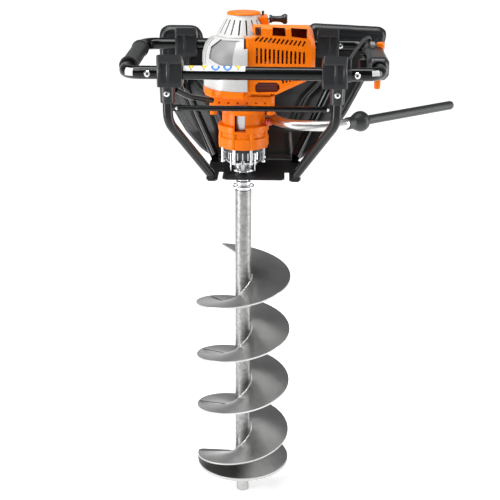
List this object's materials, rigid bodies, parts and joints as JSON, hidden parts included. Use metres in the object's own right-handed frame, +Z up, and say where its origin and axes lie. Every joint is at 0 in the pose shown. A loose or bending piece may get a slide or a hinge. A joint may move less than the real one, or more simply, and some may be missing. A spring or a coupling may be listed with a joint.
{
  "type": "one-person earth auger",
  "caption": "Petrol earth auger for one person: vertical engine and gearbox in a black tube frame with a hip pad, a bent support arm and a long screw bit.",
  "frame": {"origin": "centre of the pilot point's flat lower end, on the axis of the bit", "axes": "+Z up along the bit's axis; -Y towards the front, where the control housing is on the right; +X to the right"},
  "size_m": [0.6801, 0.4288, 1.0635],
  "materials": {
    "orange_casting": "satin orange enamel",
    "orange_plastic": "satin",
    "white_plastic": "satin",
    "grey_plastic": "satin",
    "tank_plastic": "satin",
    "black_plastic": "satin",
    "red_plastic": "gloss",
    "black_enamel": "gloss black",
    "pad_foam": "satin moulded skin",
    "soft_rubber": "matt",
    "bright_steel": "bright",
    "cast_metal": "cast",
    "bit_steel": "dull, oiled",
    "edge_steel": "ground",
    "muffler_steel": "matt"
  },
  "bodies": {
    "frame": {"gearbox_cover": "cast_metal", "gear_housing": "orange_casting", "arm_socket": "orange_casting", "crankcase": "orange_casting", "cylinder": "cast_metal", "muffler": "muffler_steel", "fan_housing": "white_plastic", "engine_shroud": "orange_plastic", "starter_housing": "white_plastic", "starter_cap": "orange_plastic", "air_filter_cover": "black_plastic", "carburettor": "cast_metal", "fuel_tank": "tank_plastic", "front_rail": "black_enamel", "rear_rail": "black_enamel", "left_handle_bar": "black_enamel", "right_handle_bar": "black_enamel", "left_grip": "soft_rubber", "control_housing": "black_plastic", "throttle_cable": "soft_rubber", "cross_bar": "black_enamel", "base_plate": "black_enamel", "pad_strut": "black_enamel", "support_arm": "bright_steel", "arm_sleeve": "soft_rubber", "hip_pad": "pad_foam", "handle_screw_fl": "bright_steel", "clamp_block_fl": "black_plastic", "leg_fl": "black_enamel", "handle_screw_fr": "bright_steel", "clamp_block_fr": "black_plastic", "leg_fr": "black_enamel", "handle_screw_rl": "bright_steel", "clamp_block_rl": "black_plastic", "leg_rl": "black_enamel", "handle_screw_rr": "bright_steel", "clamp_block_rr": "black_plastic", "leg_rr": "black_enamel"},
    "bit": {"auger_tube": "bit_steel", "flight_turn_1": "bit_steel", "flight_turn_2": "bit_steel", "flight_turn_3": "bit_steel", "flight_turn_4": "bit_steel", "lower_flight": "bit_steel", "cutting_blade": "edge_steel", "pilot_point": "bit_steel", "locking_ring": "bright_steel", "output_spindle": "cast_metal"},
    "drum": {"clutch_drum": "cast_metal"},
    "crank": {"flywheel": "cast_metal"},
    "pull_grip": {"starter_grip": "black_plastic"},
    "pulley": {"starter_pulley": "black_plastic"},
    "latch": {"arm_latch": "red_plastic"},
    "tank_cap": {"fuel_cap": "black_plastic"},
    "choke": {"choke_lever": "black_plastic"},
    "trigger": {"throttle_trigger": "black_plastic"},
    "lockout": {"trigger_lockout": "grey_plastic"},
    "stop": {"stop_button": "orange_plastic"},
    "lock": {"lock_button": "orange_plastic"}
  },
  "joints": [
    {"name": "auger_spin", "type": "hinge", "parent": "frame", "child": "bit", "pos_m": [0, 0, 0.4], "axis": [0, 0, 1], "continuous": true},
    {"name": "clutch_drum_spin", "type": "hinge", "parent": "frame", "child": "drum", "pos_m": [0, 0, 0.85], "axis": [0, 0, 1], "continuous": true},
    {"name": "crankshaft_spin", "type": "hinge", "parent": "frame", "child": "crank", "pos_m": [0, 0, 0.95], "axis": [0, 0, 1], "continuous": true},
    {"name": "starter_pull", "type": "slide", "parent": "frame", "child": "pull_grip", "axis": [1, 0, 0], "range_m": [0, 0.06], "stiffness_N_per_m": 100, "springref_m": -0.06},
    {"name": "starter_pulley_spin", "type": "hinge", "parent": "frame", "child": "pulley", "pos_m": [0, 0, 1.04], "axis": [0, 0, 1], "range_deg": [-200, 5]},
    {"name": "arm_latch_turn", "type": "hinge", "parent": "frame", "child": "latch", "pos_m": [0.048, -0.024, 0.85], "axis": [0, 0, 1], "range_deg": [0, 60]},
    {"name": "fuel_cap_turn", "type": "hinge", "parent": "frame", "child": "tank_cap", "pos_m": [-0.03, 0.116, 1], "axis": [0, 0, 1], "range_deg": [0, 90]},
    {"name": "choke_turn", "type": "hinge", "parent": "frame", "child": "choke", "pos_m": [0.064, 0.078, 0.96], "axis": [1, 0, 0], "range_deg": [0, 10]},
    {"name": "throttle_press", "type": "hinge", "parent": "frame", "child": "trigger", "pos_m": [0.233, -0.014, 0.972], "axis": [0, 0, 1], "range_deg": [0, 7], "stiffness_Nm_per_rad": 1, "springref_deg": -8.59},
    {"name": "lockout_press", "type": "hinge", "parent": "frame", "child": "lockout", "pos_m": [0.2535, 0.04, 0.9915], "axis": [1, 0, 0], "range_deg": [0, 6], "stiffness_Nm_per_rad": 0.3, "springref_deg": -8.59},
    {"name": "stop_press", "type": "slide", "parent": "frame", "child": "stop", "axis": [0, 0, -1], "range_m": [0, 0.003], "stiffness_N_per_m": 500, "springref_m": -0.002},
    {"name": "lock_press", "type": "slide", "parent": "frame", "child": "lock", "axis": [0, 0, 1], "range_m": [0, 0.003], "stiffness_N_per_m": 500, "springref_m": -0.002}
  ],
  "couplings": [
    {"joint": "clutch_drum_spin", "follows": "auger_spin", "ratio": 190},
    {"joint": "starter_pulley_spin", "follows": "starter_pull", "rad_per_m": -56.2}
  ]
}
